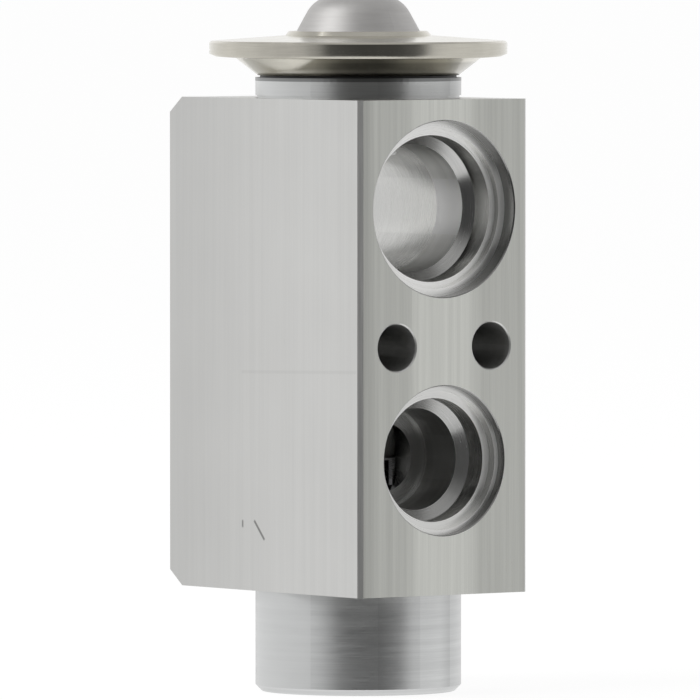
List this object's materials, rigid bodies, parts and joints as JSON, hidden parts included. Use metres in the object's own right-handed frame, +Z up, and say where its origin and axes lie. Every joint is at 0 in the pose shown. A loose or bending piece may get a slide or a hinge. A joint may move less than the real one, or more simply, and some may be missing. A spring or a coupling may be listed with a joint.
{
  "type": "expansion valve",
  "caption": "Block-type refrigerant expansion valve: aluminium block with stepped pipe ports front and rear, clamp bolt holes, a round boss below and a domed diaphragm head on top.",
  "frame": {"origin": "on the valve's own axis, in the plane of the boss's lower face", "axes": "+Z up the valve's axis to the power head, +X out of the face with the clamp plate's ports"},
  "size_m": [0.0423, 0.0382, 0.0896],
  "materials": {
    "block_aluminium": "brushed",
    "stem_aluminium": "turned",
    "head_steel": "polished, slightly yellow",
    "inner_steel": "turned",
    "spring_steel": "drawn wire",
    "ball_steel": "polished",
    "seal_rubber": "matt"
  },
  "bodies": {
    "housing": {"valve_body": "block_aluminium", "head_gasket": "seal_rubber", "head_stub": "inner_steel", "head_cup": "head_steel", "head_cover": "head_steel", "charge_plug": "head_steel", "diaphragm": "head_steel", "pin_seal": "seal_rubber", "seal_retainer": "inner_steel", "pin_damper": "inner_steel"},
    "valve_train": {"diaphragm_plate": "inner_steel", "sensing_stem": "stem_aluminium", "push_pin": "inner_steel", "valve_ball": "ball_steel", "ball_carrier": "inner_steel", "damping_spring": "spring_steel"},
    "spring_rest": {"spring_seat": "inner_steel", "superheat_spring": "spring_steel"},
    "adjuster": {"adjusting_screw": "inner_steel", "screw_seal": "seal_rubber"}
  },
  "joints": [
    {"name": "valve_stroke", "type": "slide", "parent": "housing", "child": "valve_train", "axis": [0, 0, -1], "range_m": [0, 0.0009], "stiffness_N_per_m": 9000, "springref_m": -0.004, "deforming": ["superheat_spring", "diaphragm"]},
    {"name": "adjuster_travel", "type": "slide", "parent": "housing", "child": "spring_rest", "axis": [0, 0, 1], "range_m": [-0.001, 0.002]},
    {"name": "adjuster_turn", "type": "hinge", "parent": "spring_rest", "child": "adjuster", "pos_m": [0, 0, 0], "axis": [0, 0, 1], "range_deg": [-390, 750]}
  ],
  "couplings": [
    {"joint": "adjuster_turn", "follows": "adjuster_travel", "rad_per_m": 6283.2}
  ]
}
